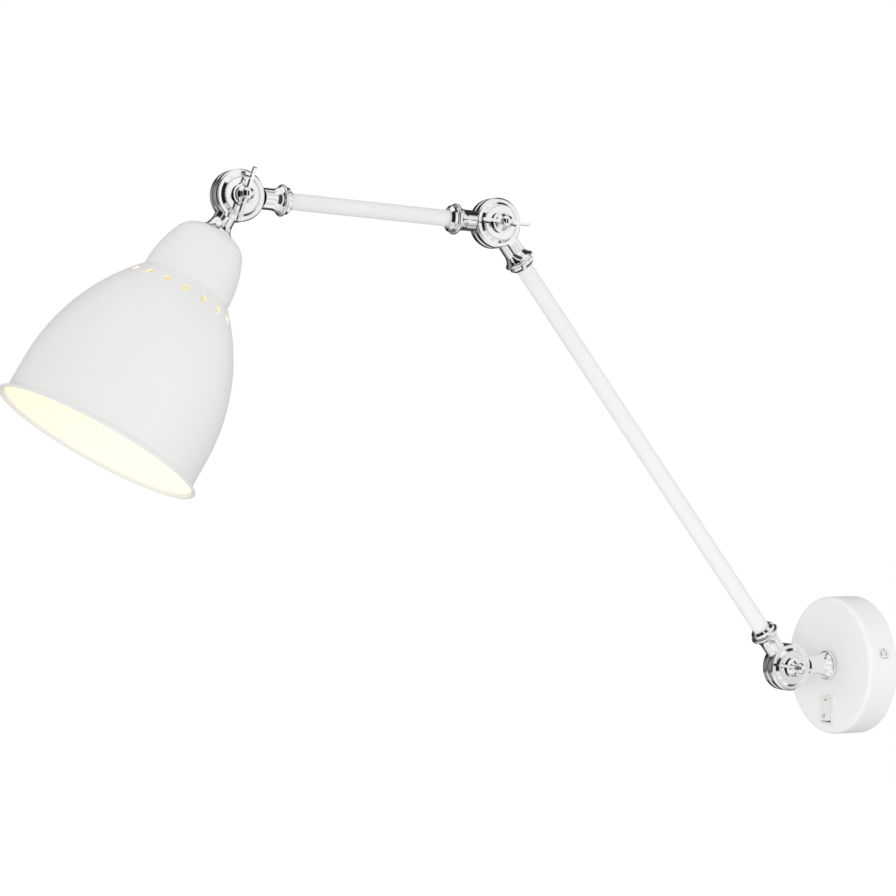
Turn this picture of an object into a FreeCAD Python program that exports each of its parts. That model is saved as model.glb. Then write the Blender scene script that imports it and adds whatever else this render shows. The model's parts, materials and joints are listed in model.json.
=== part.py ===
import FreeCAD, Part
import Sketcher
import math
import os
import re

# A wall light with two arms. A round cup on the wall carries a long arm, a short arm and a bell
# shade, joined by three friction knuckles that wing nuts clamp. Millimetres, +Z up. The origin is
# the centre of the cup's rim on the wall, the lamp reaches out along -Y, and every knuckle's pivot
# runs along X, with its wing nut on the +X side.

SIZES = {
    "all pieces": {
        "slip": 0.15,
        "fit": 0.05,
        "overrun": 5.0,
    },
    "wall cup": {
        "cup_radius": 50.0,
        "cup_depth": 24.0,
        "cup_wall": 1.5,
        "cup_edge_round": 3.1,
    },
    "bracket behind the cup": {
        "bracket_thick": 2.0,
        "bracket_half_width": 8.0,
        "bracket_gap": 0.1,
        "tab_half_width": 7.0,
        "tab_depth": 18.0,
        "tab_screw_angle": 13.4,
        "tab_screw_depth": 11.0,
        "slot_spacing": 60.0,
        "slot_half_width": 2.5,
        "slot_length": 12.0,
    },
    "side screws": {
        "screw_radius": 2.0,
        "screw_hole_play": 0.25,
        "screw_head_radius": 3.6,
        "screw_head_thick": 2.0,
        "screw_head_round": 1.2,
        "screw_length": 8.0,
    },
    "rocker switch": {
        "switch_drop": 32.7,
        "bezel_half_width": 7.5,
        "bezel_half_height": 10.5,
        "bezel_thick": 1.5,
        "bezel_corner": 1.2,
        "switch_half_width": 6.4,
        "switch_half_height": 9.4,
        "switch_depth": 13.0,
        "switch_hole_play": 0.1,
        "rocker_well_half_width": 5.7,
        "rocker_well_half_height": 8.8,
        "rocker_well_depth": 6.0,
        "rocker_half_width": 5.4,
        "rocker_half_length": 8.3,
        "rocker_foot_half_length": 6.6,
        "rocker_pivot_depth": 3.2,
        "rocker_edge_height": 5.2,
        "rocker_middle_height": 3.6,
        "rocker_foot_depth": 2.0,
        "rocker_pin_radius": 1.0,
        "rocker_pin_half_length": 6.2,
        "rocker_tilt": 8.0,
        "blade_width": 4.8,
        "blade_thick": 0.8,
        "blade_length": 6.5,
        "blade_spacing": 9.0,
    },
    "terminal block": {
        "block_half_length": 14.0,
        "block_half_height": 5.5,
        "block_depth": 11.0,
        "block_round": 0.8,
        "pole_spacing": 9.0,
        "pole_screw_radius": 1.5,
        "pole_well_radius": 1.7,
        "pole_well_depth": 5.0,
        "pole_screw_length": 3.5,
        "wire_hole_radius": 1.5,
        "wire_hole_depth": 7.5,
    },
    "swivel at the cup": {
        "swivel_washer_thick": 0.4,
        "swivel_washer_radius": 7.0,
        "stop_pin_radius": 1.0,
        "stop_pin_orbit": 8.6,
        "stop_pin_play": 0.2,
        "stop_pin_seat": 2.0,
        "stop_pin_reach": 1.5,
        "stop_half_turn": 92.0,
        "nipple_radius": 5.0,
        "nipple_bore": 3.5,
        "nipple_hole_play": 0.1,
        "nipple_seat": 8.0,
        "nipple_tail": 2.0,
        "swivel_spring_thick": 1.2,
        "swivel_spring_radius": 9.0,
        "nut_half_flats": 7.0,
        "nut_thick": 3.0,
    },
    "knuckle discs": {
        "joint_gap": 0.7,
        "disc_radius": 17.0,
        "disc_thick": 6.0,
        "disc_inner_round": 1.0,
        "disc_outer_round": 1.6,
        "step_radius": 12.6,
        "step_height": 2.2,
        "step_fillet": 1.1,
        "step_round": 0.7,
        "recess_radius": 7.8,
        "recess_depth": 1.0,
        "hub_radius": 6.5,
        "chamber_radius": 13.2,
        "chamber_depth": 3.4,
        "rim_clearance": 0.6,
        "core_hole_radius": 1.5,
        "core_hole_offset": 2.2,
    },
    "stems and ferrules": {
        "stem_radius": 7.1,
        "stem_root": 14.0,
        "lead_bore_start": 18.0,
        "lead_bore": 3.0,
        "flare_start": 23.6,
        "ring_start": 29.8,
        "ring_radius": 10.5,
        "ring_width": 2.4,
        "ring_round": 1.0,
        "groove_radius": 8.2,
        "groove_width": 0.7,
        "lip_radius": 8.9,
        "lip_width": 1.9,
        "lip_wall": 1.3,
        "ferrule_end": 36.6,
        "socket_depth": 11.0,
        "boss_flare_start": 24.0,
        "boss_foot_start": 34.1,
        "boss_length": 36.6,
        "head_flare_start": 19.5,
        "head_foot_start": 26.8,
        "head_length": 28.5,
        "foot_radius": 10.5,
        "foot_round": 0.8,
    },
    "pivot bolts": {
        "bolt_radius": 2.5,
        "bolt_play": 0.08,
        "bolt_head_radius": 6.6,
        "bolt_head_height": 2.6,
        "bolt_head_edge": 0.8,
        "bolt_neck_half": 2.7,
        "bolt_neck_length": 3.0,
        "bolt_neck_play": 0.1,
        "bolt_reach": 14.4,
        "friction_washer_thick": 0.5,
        "friction_washer_play": 0.2,
        "spring_washer_radius": 4.6,
        "spring_washer_thick": 1.2,
        "spring_washer_slit": 0.6,
    },
    "wing nuts": {
        "nut_base_radius": 6.9,
        "nut_base_thick": 1.3,
        "nut_cone_length": 3.9,
        "nut_neck_radius": 3.5,
        "nut_thread_play": 0.06,
        "nut_bore_spare": 0.4,
        "ball_reach": 11.4,
        "ball_radius": 4.1,
        "wing_back": 2.75,
        "wing_span": 18.6,
        "wing_root_half": 2.0,
        "wing_tip_half": 1.4,
        "wing_thick": 2.0,
    },
    "arms": {
        "lower_length": 394.0,
        "lower_angle": 51.4,
        "lower_tube_radius": 6.0,
        "upper_length": 189.8,
        "upper_angle": 2.3,
        "upper_tube_radius": 5.5,
        "tube_wall": 1.0,
        "lead_radius": 2.8,
        "lead_start": 18.5,
    },
    "shade": {
        "shade_tilt": 30.2,
        "shade_wall": 1.0,
        "shade_seat_radius": 9.0,
        "shoulder_radius": 23.3,
        "shoulder_drop": 8.4,
        "shoulder_round": 15.7,
        "neck_curve": 75.4,
        "neck_radius": 30.1,
        "neck_length": 39.5,
        "neck_straight": 1.76,
        "bell_radius": 65.6,
        "bell_curve": 135.0,
        "bell_straight": 18.3,
        "lip_flare_curve": 5.7,
        "lip_flare_angle": 55.0,
        "lip_bead_radius": 1.1,
        "vent_radius": 2.2,
        "vent_below_neck": 9.64,
        "vent_turn": 7.2,
    },
    "lampholder and bulb": {
        "holder_gap": 0.2,
        "cap_top_radius": 12.0,
        "cap_radius": 18.5,
        "cap_shoulder": 8.0,
        "cap_length": 16.0,
        "cap_wall": 2.0,
        "cap_roof": 4.5,
        "cap_curve": 9.0,
        "holder_radius": 20.0,
        "holder_lap": 6.0,
        "holder_floor": 3.5,
        "holder_wall": 4.2,
        "holder_length": 34.0,
        "holder_round": 1.2,
        "holder_hole": 3.0,
        "sleeve_radius": 14.2,
        "sleeve_wall": 0.6,
        "sleeve_length": 21.5,
        "sleeve_hole": 8.0,
        "contact_head_radius": 4.5,
        "contact_head_thick": 1.5,
        "bulb_cap_radius": 13.2,
        "bulb_cap_length": 22.0,
        "bulb_cap_taper": 5.0,
        "bulb_tip_radius": 4.8,
        "bulb_tip_thick": 1.2,
        "glass_radius": 30.0,
        "glass_neck_radius": 13.0,
        "glass_neck_length": 4.0,
        "glass_neck_curve": 67.0,
        "glass_shoulder_radius": 24.5,
        "glass_length": 80.0,
        "glass_wall": 0.8,
    },
}
VENT_COUNT = 18
POLE_COUNT = 3
NAMES = {name for group in SIZES.values() for name in group}

doc = FreeCAD.newDocument("WallLight")
sheet = doc.addObject("Spreadsheet::Sheet", "Dims")
row = 0
for group, sizes in SIZES.items():
    row += 1
    sheet.set(f"A{row}", group)
    for name, number in sizes.items():
        row += 1
        sheet.set(f"A{row}", name)
        sheet.set(f"B{row}", str(number))
        sheet.setAlias(f"B{row}", name)
doc.recompute()

nodes = []


def formula(text):
    """A sum of named sizes, with each name pointed at its cell in the sheet."""
    return re.sub(r"[a-z_]+", lambda word: f"Dims.{word[0]}" if word[0] in NAMES else word[0], text)


def number(text):
    return float(sheet.evalExpression(formula(text)))


def bind(target, size, text):
    target.setExpression(size, formula(text))


def degrees(name):
    return f"({name} * 1 deg)"


def rise_radius(width, height):
    """Radius of the arc that starts straight and has moved sideways by width after height."""
    return f"((({width})^2 + ({height})^2) / (2 * ({width})))"


# Frames: where a pivot lies and how its local +Z, the way its stem points, is turned about X.

SHOULDER_Y = "-(cup_depth + swivel_washer_thick + slip + boss_length)"
ELBOW_Y = f"{SHOULDER_Y} - lower_length * cos{degrees('lower_angle')}"
ELBOW_Z = f"lower_length * sin{degrees('lower_angle')}"
HEAD_Y = f"{ELBOW_Y} - upper_length * cos{degrees('upper_angle')}"
HEAD_Z = f"{ELBOW_Z} + upper_length * sin{degrees('upper_angle')}"
FRAMES = {
    "boss": (SHOULDER_Y, "0", "-90"),
    "lower_arm": (SHOULDER_Y, "0", "90 - lower_angle"),
    "lower_arm_end": (ELBOW_Y, ELBOW_Z, "270 - lower_angle"),
    "upper_arm": (ELBOW_Y, ELBOW_Z, "90 - upper_angle"),
    "upper_arm_end": (HEAD_Y, HEAD_Z, "270 - upper_angle"),
    "head": (HEAD_Y, HEAD_Z, "180 - shade_tilt"),
    "shoulder_wings": (SHOULDER_Y, "0", "-99"),
    "elbow_wings": (ELBOW_Y, ELBOW_Z, "-93"),
    "head_wings": (HEAD_Y, HEAD_Z, "-18"),
}


def move(target, x, y, z, axis, turn, spin="0"):
    """Set a place, and a turn about an axis that follows a spin about the piece's own Z."""
    base = "; ".join(formula(text) for text in (x, y, z))
    turned = f"create(<<rotation>>; create(<<vector>>; {axis}); {formula(turn)})"
    spun = f"create(<<rotation>>; create(<<vector>>; 0; 0; 1); {formula(spin)})"
    target.setExpression(
        "Placement", f"create(<<placement>>; create(<<vector>>; {base}); {turned} * {spun})")


def place(target, frame, spin="0"):
    y, z, turn = FRAMES[frame]
    move(target, "0", y, z, "1; 0; 0", turn, spin)


def place_radially(target, radius):
    """Point local Z out through the cup's side along the screw on the +X side."""
    along = degrees("tab_screw_angle")
    move(target, f"({radius}) * cos{along}", "-tab_screw_depth", f"({radius}) * sin{along}",
         "0; 1; 0", "90 - tab_screw_angle")


def keep(target, label):
    """Take an object as a finished piece under its own name."""
    target.Label = label
    nodes.append(target)
    return target


def new_body(label):
    return doc.addObject("PartDesign::Body", label)


def new_sketch(body, role, offset=None):
    plane = next(item for item in body.Origin.OriginFeatures if item.Role == role)
    sketch = body.newObject("Sketcher::SketchObject", f"{body.Name}Sketch")
    sketch.AttachmentSupport = [(plane, "")]
    sketch.MapMode = "FlatFace"
    if offset:
        bind(sketch, "AttachmentOffset.Base.z", offset)
    return sketch


def fix_point(sketch, edge, end, x, y):
    """Tie one end of an edge to its named place."""
    for kind, axis, text, letter in (("DistanceX", -2, x, "x"), ("DistanceY", -1, y, "y")):
        if text == "0":
            sketch.addConstraint(Sketcher.Constraint("PointOnObject", edge, end, axis))
            continue
        index = sketch.addConstraint(Sketcher.Constraint(kind, -1, 1, edge, end, number(text)))
        sketch.renameConstraint(index, f"e{edge}_{end}{letter}")
        bind(sketch, f"Constraints.e{edge}_{end}{letter}", text)


def outline(sketch, points):
    """Draw a closed outline. A point is (x, y), or (x, y, radius, turn) where an arc leaves it:
    turn is 1 for an arc that bends left on its way to the next point and -1 for one that bends right."""
    first = sketch.GeometryCount
    places = [FreeCAD.Vector(number(point[0]), number(point[1]), 0) for point in points]
    ends = []
    for index, point in enumerate(points):
        start = places[index]
        finish = places[(index + 1) % len(points)]
        if len(point) == 2:
            sketch.addGeometry(Part.LineSegment(start, finish), False)
            ends.append((1, 2))
            continue
        radius = number(point[2])
        turn = point[3]
        chord = finish - start
        height = math.sqrt(max(radius ** 2 - chord.Length ** 2 / 4, 0))
        left = FreeCAD.Vector(-chord.y, chord.x, 0) / chord.Length
        centre = (start + finish) / 2 + left * (height * turn)
        angles = [math.atan2((place - centre).y, (place - centre).x) for place in (start, finish)]
        if turn < 0:
            angles.reverse()
        if angles[1] < angles[0]:
            angles[1] += 2 * math.pi
        circle = Part.Circle(centre, FreeCAD.Vector(0, 0, 1), radius)
        edge = sketch.addGeometry(Part.ArcOfCircle(circle, *angles), False)
        ends.append((1, 2) if turn > 0 else (2, 1))
        index = sketch.addConstraint(Sketcher.Constraint("Radius", edge, radius))
        sketch.renameConstraint(index, f"r{edge}")
        bind(sketch, f"Constraints.r{edge}", point[2])
    for index, point in enumerate(points):
        before = (index - 1) % len(points)
        sketch.addConstraint(Sketcher.Constraint(
            "Coincident", first + before, ends[before][1], first + index, ends[index][0]))
        fix_point(sketch, first + index, ends[index][0], point[0], point[1])
    return sketch


def circle(sketch, radius, x="0", y="0"):
    centre = FreeCAD.Vector(number(x), number(y), 0)
    edge = sketch.addGeometry(Part.Circle(centre, FreeCAD.Vector(0, 0, 1), number(radius)), False)
    index = sketch.addConstraint(Sketcher.Constraint("Radius", edge, number(radius)))
    sketch.renameConstraint(index, f"r{edge}")
    bind(sketch, f"Constraints.r{edge}", radius)
    fix_point(sketch, edge, 3, x, y)
    return sketch


def rectangle(sketch, left, right, low, high):
    return outline(sketch, [(left, low), (right, low), (right, high), (left, high)])


def rounded(sketch, half_width, half_height, corner, middle="0"):
    """A rectangle with round corners, centred on x = 0 at the height of middle."""
    right = half_width
    inner = f"{half_width} - {corner}"
    top = f"{middle} + {half_height}"
    low = f"{middle} - {half_height}"
    return outline(sketch, [
        (f"-({inner})", low), (inner, low, corner, 1),
        (right, f"{low} + {corner}"), (right, f"{top} - {corner}", corner, 1),
        (inner, top), (f"-({inner})", top, corner, 1),
        (f"-({right})", f"{top} - {corner}"), (f"-({right})", f"{low} + {corner}", corner, 1)])


def feature(body, kind, sketch, length=None, reverse=False, both=False):
    """Add a pad, pocket or revolution, and see that a cut removes material."""
    doc.recompute()
    before = body.Shape.Volume if body.Tip else 0
    made = body.newObject(f"PartDesign::{kind}", f"{body.Name}{kind}")
    made.Profile = sketch
    made.Reversed = reverse
    if length:
        bind(made, "Length", length)
    if both:
        made.Midplane = True
    doc.recompute()
    cut = kind in ("Pocket", "Groove")
    if cut and not body.Shape.Volume < before:
        raise RuntimeError(f"{body.Label}: a cut removed nothing")
    return made


def revolve(body, role, axis, points):
    sketch = outline(new_sketch(body, role), points)
    made = body.newObject("PartDesign::Revolution", f"{body.Name}Revolution")
    made.Profile = sketch
    made.ReferenceAxis = (sketch, [axis])
    made.Angle = 360
    doc.recompute()
    return made


def turned_piece(label, frame, points, axis="V_Axis", spin="0"):
    """A piece turned about its own axis: local Z, or local X for what lies along a pivot."""
    body = new_body(label)
    revolve(body, "XZ_Plane" if axis == "V_Axis" else "XY_Plane", axis, points)
    place(body, frame, spin)
    return keep(body, label)


def ring(label, frame, role, outer, inner, start, length):
    """A tube, washer or rod: a padded circle, with a hole where inner is given."""
    body = new_body(label)
    sketch = circle(new_sketch(body, role, start), outer)
    if inner:
        circle(sketch, inner)
    feature(body, "Pad", sketch, length)
    place(body, frame)
    return keep(body, label)


def hex_nut(label, frame, start):
    body = new_body(label)
    sketch = new_sketch(body, "XY_Plane", start)
    corners = [(f"nut_half_flats / cos(30 deg) * cos({60 * corner + 30} deg)",
                f"nut_half_flats / cos(30 deg) * sin({60 * corner + 30} deg)") for corner in range(6)]
    outline(sketch, [(x if abs(number(x)) > 1e-9 else "0", y) for x, y in corners])
    circle(sketch, "nipple_radius + fit")
    feature(body, "Pad", sketch, "nut_thick")
    place(body, frame)
    return keep(body, label)


# Wall side: cup, bracket, screws, switch and terminal block.

SLOT_HALF = "(stop_pin_radius + stop_pin_play)"
SCREW_ANGLE = degrees("tab_screw_angle")
TAB_FACE = "(sqrt((cup_radius - cup_wall)^2 - tab_half_width^2) - bracket_gap)"
STRIP_FACE = f"({TAB_FACE} - bracket_thick / 2)"
BRACKET_Z = f"({STRIP_FACE} * sin{SCREW_ANGLE})"
ROCKER_Y = "-(cup_depth + bezel_thick - rocker_pivot_depth)"


def stop_slot(sketch):
    """The arc-shaped slot above the nipple hole in which the swivel's stop pin runs."""
    def at(radius, angle):
        return f"({radius}) * sin({angle} * 1 deg)", f"({radius}) * cos({angle} * 1 deg)"
    outer = f"stop_pin_orbit + {SLOT_HALF}"
    inner = f"stop_pin_orbit - {SLOT_HALF}"
    tip = f"(stop_half_turn + {SLOT_HALF} / stop_pin_orbit * 57.3)"
    left, right = (at("stop_pin_orbit", f"{sign}{tip}") for sign in ("-", ""))
    ends = {name: (at(outer, f"{sign}stop_half_turn"), at(inner, f"{sign}stop_half_turn"))
            for name, sign in (("left", "-"), ("right", ""))}
    outline(sketch, [
        (*ends["left"][0], outer, -1), ("0", outer, outer, -1),
        (*ends["right"][0], SLOT_HALF, -1), (*right, SLOT_HALF, -1),
        (*ends["right"][1], inner, 1), ("0", inner, inner, 1),
        (*ends["left"][1], SLOT_HALF, -1), (*left, SLOT_HALF, -1)])


def radial_cylinder(name, radius, start, finish):
    """A cylinder that points out through the cup's side along a side screw."""
    made = doc.addObject("Part::Cylinder", name)
    bind(made, "Radius", radius)
    bind(made, "Height", f"({finish}) - ({start})")
    place_radially(made, start)
    return made


def mirrored(name, source):
    """The same piece on the other side of the arm plane."""
    made = doc.addObject("Part::Mirroring", name)
    made.Source = source
    made.Normal = FreeCAD.Vector(1, 0, 0)
    return made


def pair(name, source):
    made = doc.addObject("Part::Compound", name)
    made.Links = [source, mirrored(f"{name}Mirror", source)]
    return made


def cut_from(name, base, tool):
    made = doc.addObject("Part::Cut", name)
    made.Base = base
    made.Tool = tool
    return made


def build_cup():
    shell = new_body("CupShell")
    edge = "cup_edge_round"
    revolve(shell, "XY_Plane", "V_Axis", [
        ("cup_radius", "0"), ("cup_radius", f"-(cup_depth - {edge})", edge, -1),
        (f"cup_radius - {edge}", "-cup_depth"), ("nipple_radius + nipple_hole_play", "-cup_depth"),
        ("nipple_radius + nipple_hole_play", "-(cup_depth - cup_wall)"),
        (f"cup_radius - {edge}", "-(cup_depth - cup_wall)", f"{edge} - cup_wall", 1),
        ("cup_radius - cup_wall", f"-(cup_depth - {edge})"), ("cup_radius - cup_wall", "0")])
    sketch = new_sketch(shell, "XZ_Plane")
    half_width = "switch_half_width + switch_hole_play"
    half_height = "switch_half_height + switch_hole_play"
    rectangle(sketch, f"-({half_width})", half_width,
              f"-switch_drop - ({half_height})", f"-switch_drop + {half_height}")
    stop_slot(sketch)
    feature(shell, "Pocket", sketch, "cup_depth + overrun", reverse=True)
    hole = radial_cylinder("CupScrewHole", "screw_radius + screw_hole_play", "0", "cup_radius + overrun")
    keep(cut_from("Cup", shell, pair("CupScrewHoles", hole)), "wall_cup")


def build_bracket():
    strip = new_body("BracketStrip")
    corner = {sign: (f"{STRIP_FACE} * cos{SCREW_ANGLE} - {sign}bracket_half_width * sin{SCREW_ANGLE}",
                     f"{STRIP_FACE} * sin{SCREW_ANGLE} + {sign}bracket_half_width * cos{SCREW_ANGLE}")
              for sign in ("", "-")}
    low = corner["-"]
    top = corner[""]
    sketch = outline(new_sketch(strip, "XZ_Plane"), [
        (f"-({low[0]})", low[1]), low, top, (f"-({top[0]})", top[1])])
    feature(strip, "Pad", sketch, "bracket_thick")
    slots = new_sketch(strip, "XZ_Plane")
    for sign in ("-", ""):
        middle = f"{sign}slot_spacing / 2"
        reach = "slot_length / 2"
        flat = f"({reach} - slot_half_width)"
        outline(slots, [
            (f"{middle} - {flat}", f"{BRACKET_Z} - slot_half_width"),
            (f"{middle} + {flat}", f"{BRACKET_Z} - slot_half_width", "slot_half_width", 1),
            (f"{middle} + {reach}", BRACKET_Z, "slot_half_width", 1),
            (f"{middle} + {flat}", f"{BRACKET_Z} + slot_half_width"),
            (f"{middle} - {flat}", f"{BRACKET_Z} + slot_half_width", "slot_half_width", 1),
            (f"{middle} - {reach}", BRACKET_Z, "slot_half_width", 1)])
    feature(strip, "Pocket", slots, "bracket_thick + overrun", reverse=True)
    tab = doc.addObject("Part::Box", "BracketTab")
    bind(tab, "Length", "bracket_thick")
    bind(tab, "Width", "tab_depth")
    bind(tab, "Height", "2 * tab_half_width")
    inner = f"({TAB_FACE} - bracket_thick)"
    move(tab, f"{inner} * cos{SCREW_ANGLE} + tab_half_width * sin{SCREW_ANGLE}", "-tab_depth",
         f"{inner} * sin{SCREW_ANGLE} - tab_half_width * cos{SCREW_ANGLE}", "0; 1; 0", "-tab_screw_angle")
    plate = doc.addObject("Part::MultiFuse", "BracketPlate")
    plate.Shapes = [strip, tab, mirrored("BracketTabMirror", tab)]
    hole = radial_cylinder("BracketScrewHole", "screw_radius + fit",
                           f"{inner} - overrun", f"{TAB_FACE} + overrun")
    keep(cut_from("Bracket", plate, pair("BracketScrewHoles", hole)), "wall_bracket")


def build_side_screws():
    screw = new_body("SideScrew")
    edge = "screw_head_round"
    revolve(screw, "XZ_Plane", "V_Axis", [
        ("0", "-screw_length"), ("screw_radius", "-screw_length"), ("screw_radius", "0"),
        ("screw_head_radius", "0"), ("screw_head_radius", f"screw_head_thick - {edge}", edge, 1),
        (f"screw_head_radius - {edge}", "screw_head_thick"), ("0", "screw_head_thick")])
    place_radially(screw, "cup_radius + fit")
    keep(pair("SideScrews", screw), "cup_side_screws")


def build_switch():
    housing = new_body("SwitchHousing")
    face = rounded(new_sketch(housing, "XZ_Plane", "cup_depth"), "bezel_half_width",
                   "bezel_half_height", "bezel_corner", "-switch_drop")
    feature(housing, "Pad", face, "bezel_thick")
    box = rectangle(new_sketch(housing, "XZ_Plane", "cup_depth"), "-switch_half_width", "switch_half_width",
                    "-switch_drop - switch_half_height", "-switch_drop + switch_half_height")
    feature(housing, "Pad", box, "switch_depth", reverse=True)
    well = rectangle(new_sketch(housing, "XZ_Plane", "cup_depth + bezel_thick"),
                     "-rocker_well_half_width", "rocker_well_half_width",
                     "-switch_drop - rocker_well_half_height", "-switch_drop + rocker_well_half_height")
    feature(housing, "Pocket", well, "bezel_thick + rocker_well_depth")
    pin_holes = circle(new_sketch(housing, "YZ_Plane"), "rocker_pin_radius + fit",
                       ROCKER_Y, "-switch_drop")
    feature(housing, "Pocket", pin_holes, "2 * switch_half_width", both=True)
    keep(housing, "switch_housing")

    rocker = new_body("SwitchRocker")
    edge = "-rocker_edge_height"
    profile = outline(new_sketch(rocker, "YZ_Plane"), [
        (edge, "rocker_half_length"), ("-rocker_middle_height", "0"), (edge, "-rocker_half_length"),
        ("0", "-rocker_foot_half_length"), ("rocker_foot_depth", "0"), ("0", "rocker_foot_half_length")])
    feature(rocker, "Pad", profile, "2 * rocker_half_width", both=True)
    pins = circle(new_sketch(rocker, "YZ_Plane"), "rocker_pin_radius")
    feature(rocker, "Pad", pins, "2 * rocker_pin_half_length", both=True)
    move(rocker, "0", ROCKER_Y, "-switch_drop", "1; 0; 0", "-rocker_tilt")
    keep(rocker, "switch_rocker")

    blades = []
    for sign in ("-", ""):
        blade = doc.addObject("Part::Box", "SwitchBlade")
        bind(blade, "Length", "blade_width")
        bind(blade, "Width", "blade_length")
        bind(blade, "Height", "blade_thick")
        bind(blade, "Placement.Base.x", "-blade_width / 2")
        bind(blade, "Placement.Base.y", "-(cup_depth - switch_depth)")
        bind(blade, "Placement.Base.z", f"-switch_drop - blade_thick / 2 + {sign}blade_spacing / 2")
        blades.append(blade)
    pairs = doc.addObject("Part::Compound", "SwitchBlades")
    pairs.Links = blades
    keep(pairs, "switch_blades")


def build_terminal_block():
    block = new_body("TerminalBlock")
    face = rounded(new_sketch(block, "XZ_Plane", "bracket_thick"), "block_half_length",
                   "block_half_height", "block_round", BRACKET_Z)
    feature(block, "Pad", face, "block_depth")
    poles = [f"pole_spacing * {index - (POLE_COUNT - 1) / 2}" for index in range(POLE_COUNT)]
    wells = new_sketch(block, "XZ_Plane", "bracket_thick + block_depth")
    for pole in poles:
        circle(wells, "pole_well_radius", pole if abs(number(pole)) > 0 else "0", BRACKET_Z)
    feature(block, "Pocket", wells, "pole_well_depth")
    wires = new_sketch(block, "XY_Plane", BRACKET_Z)
    for pole in poles:
        circle(wires, "wire_hole_radius", pole if abs(number(pole)) > 0 else "0",
               "-(bracket_thick + block_depth - wire_hole_depth)")
    feature(block, "Pocket", wires, "2 * block_half_height + overrun", both=True)
    keep(block, "terminal_block")

    heads = []
    for pole in poles:
        head = doc.addObject("Part::Cylinder", "PoleScrew")
        bind(head, "Radius", "pole_screw_radius")
        bind(head, "Height", "pole_screw_length")
        move(head, pole, "-(bracket_thick + block_depth - pole_well_depth)", BRACKET_Z, "1; 0; 0", "90")
        heads.append(head)
    screws = doc.addObject("Part::Compound", "PoleScrews")
    screws.Links = heads
    keep(screws, "terminal_screws")


# Knuckles: each half is a hollow disc on its own side of the arm plane, and a stem on the plane.

HALF_GAP = "(joint_gap / 2)"
DISC_FACE = f"({HALF_GAP} + disc_thick)"
STEP_FACE = f"({DISC_FACE} + step_height)"
SEAT_FACE = f"({STEP_FACE} - recess_depth)"


def arm_stem(tube_radius):
    """Outline of a stem that ends in a ring, a groove and a lip round the tube's socket."""
    edge = "(ring_radius - ring_round)"
    flare = rise_radius(f"{edge} - stem_radius", "ring_start - flare_start")
    ring_end = "(ring_start + ring_width)"
    lip_start = f"({ring_end} + groove_width)"
    lip_end = f"({lip_start} + lip_width)"
    floor = "(ferrule_end - socket_depth)"
    socket = f"({tube_radius} + fit)"
    mouth = f"({socket} + lip_wall)"
    return [
        ("0", "stem_root"), ("stem_radius", "stem_root"), ("stem_radius", "flare_start", flare, -1),
        (edge, "ring_start", "ring_round", 1), ("ring_radius", "ring_start + ring_round"),
        ("ring_radius", f"{ring_end} - ring_round", "ring_round", 1), (edge, ring_end),
        ("groove_radius", ring_end), ("groove_radius", lip_start), ("lip_radius", lip_start),
        ("lip_radius", lip_end), (mouth, "ferrule_end"), (socket, "ferrule_end"), (socket, floor),
        ("lead_bore", floor), ("lead_bore", "lead_bore_start"), ("0", "lead_bore_start")]


def footed_stem(flare_start, foot_start, length):
    """Outline of a stem that flares to a foot and takes a threaded nipple."""
    edge = "(foot_radius - foot_round)"
    flare = rise_radius(f"{edge} - stem_radius", f"{foot_start} - {flare_start}")
    floor = f"({length} - nipple_seat)"
    thread = "(nipple_radius + fit)"
    return [
        ("0", "stem_root"), ("stem_radius", "stem_root"), ("stem_radius", flare_start, flare, -1),
        (edge, foot_start, "foot_round", 1), ("foot_radius", f"{foot_start} + foot_round"),
        ("foot_radius", length), (thread, length), (thread, floor), ("lead_bore", floor),
        ("lead_bore", "lead_bore_start"), ("0", "lead_bore_start")]


def disc_outline(side, bore):
    """Half of a knuckle seen along the arm plane: hub, wiring chamber, rim and the stepped face."""
    points = [
        (HALF_GAP, bore), (HALF_GAP, "hub_radius"), (f"{HALF_GAP} + chamber_depth", "hub_radius"),
        (f"{HALF_GAP} + chamber_depth", "chamber_radius"), (HALF_GAP, "chamber_radius"),
        (HALF_GAP, "disc_radius - disc_inner_round", "disc_inner_round", -1),
        (f"{HALF_GAP} + disc_inner_round", "disc_radius"),
        (f"{DISC_FACE} - disc_outer_round", "disc_radius", "disc_outer_round", -1),
        (DISC_FACE, "disc_radius - disc_outer_round"),
        (DISC_FACE, "step_radius + step_fillet", "step_fillet", 1),
        (f"{DISC_FACE} + step_fillet", "step_radius"),
        (f"{STEP_FACE} - step_round", "step_radius", "step_round", -1),
        (STEP_FACE, "step_radius - step_round"), (STEP_FACE, "recess_radius"),
        (SEAT_FACE, "recess_radius"), (SEAT_FACE, bore)]
    if side > 0:
        return points
    return [(f"-({point[0]})", point[1], *((point[2], -point[3]) if len(point) > 2 else ()))
            for point in points]


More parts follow.
